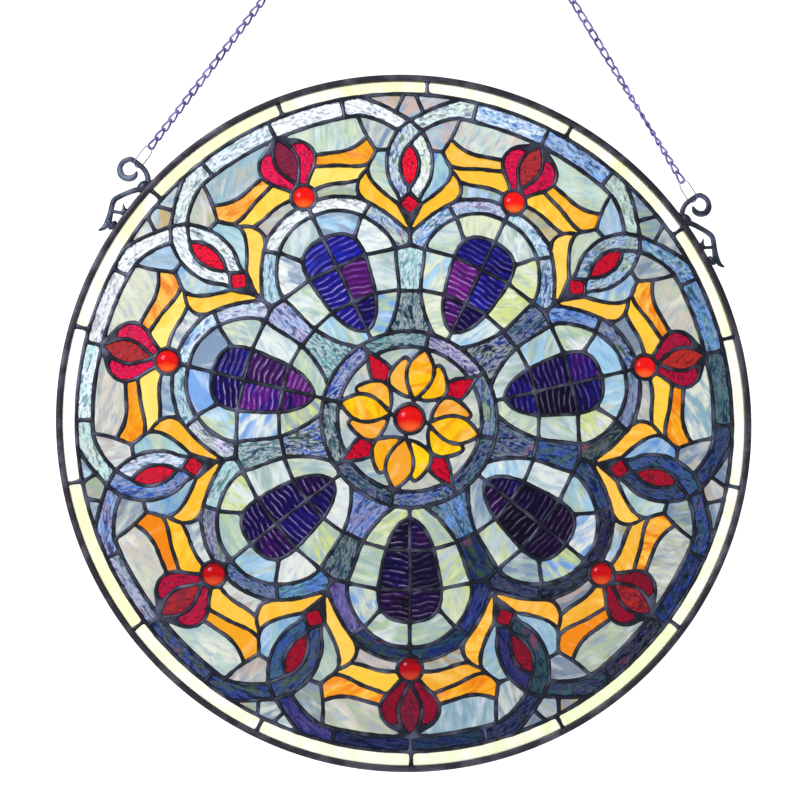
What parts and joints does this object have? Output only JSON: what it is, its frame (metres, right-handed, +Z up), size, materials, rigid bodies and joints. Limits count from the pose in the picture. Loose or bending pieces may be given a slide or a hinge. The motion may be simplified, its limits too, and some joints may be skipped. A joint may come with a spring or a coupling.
{
  "type": "stained glass window",
  "caption": "Round hanging stained glass window: a petalled rose of blue, amber, red and pale glass in dark solder, in a metal rim with scroll brackets and a chain.",
  "frame": {"origin": "centre of the chain's middle link, where the window hangs from a hook", "axes": "+Z up, +X to the right across the window as seen from its front, the front faces -Y"},
  "size_m": [0.61, 0.0104, 0.8962],
  "materials": {
    "rim_metal": "satin",
    "solder": "satin",
    "bracket_metal": "satin",
    "chain_steel": "satin",
    "cream_glass": "gloss",
    "pale_glass": "gloss",
    "silver_glass": "gloss",
    "blue_glass": "gloss",
    "violet_glass": "gloss",
    "amber_glass": "gloss",
    "red_glass": "gloss"
  },
  "bodies": {
    "root": {"blue_bands": "blue_glass", "border_glass": "cream_glass", "bracket_left": "bracket_metal", "bracket_right": "bracket_metal", "chain_left": "chain_steel", "chain_middle_link": "chain_steel", "chain_right": "chain_steel", "connector_left": "chain_steel", "connector_right": "chain_steel", "eye_1": "silver_glass", "eye_2": "silver_glass", "eye_3": "silver_glass", "eye_4": "silver_glass", "eye_5": "silver_glass", "eye_6": "silver_glass", "eye_7": "silver_glass", "field": "pale_glass", "flower_corner_1": "silver_glass", "flower_corner_2": "silver_glass", "flower_corner_3": "silver_glass", "flower_corner_4": "silver_glass", "flower_petals": "amber_glass", "garland_1": "amber_glass", "garland_2": "amber_glass", "garland_3": "amber_glass", "garland_4": "amber_glass", "garland_5": "amber_glass", "garland_6": "amber_glass", "garland_7": "amber_glass", "jewel_1": "red_glass", "jewel_2": "red_glass", "jewel_3": "red_glass", "jewel_4": "red_glass", "jewel_5": "red_glass", "jewel_6": "red_glass", "jewel_7": "red_glass", "jewel_centre": "red_glass", "petal_border_1": "pale_glass", "petal_border_2": "pale_glass", "petal_border_3": "pale_glass", "petal_border_4": "pale_glass", "petal_border_5": "pale_glass", "petal_border_6": "pale_glass", "petal_border_7": "pale_glass", "petal_core_1": "violet_glass", "petal_core_2": "violet_glass", "petal_core_3": "violet_glass", "petal_core_4": "violet_glass", "petal_core_5": "violet_glass", "petal_core_6": "violet_glass", "petal_core_7": "violet_glass", "rim": "rim_metal", "solder_net": "solder", "tulip_1": "red_glass", "tulip_2": "red_glass", "tulip_3": "red_glass", "tulip_4": "red_glass", "tulip_5": "red_glass", "tulip_6": "red_glass", "tulip_7": "red_glass"}
  },
  "joints": []
}
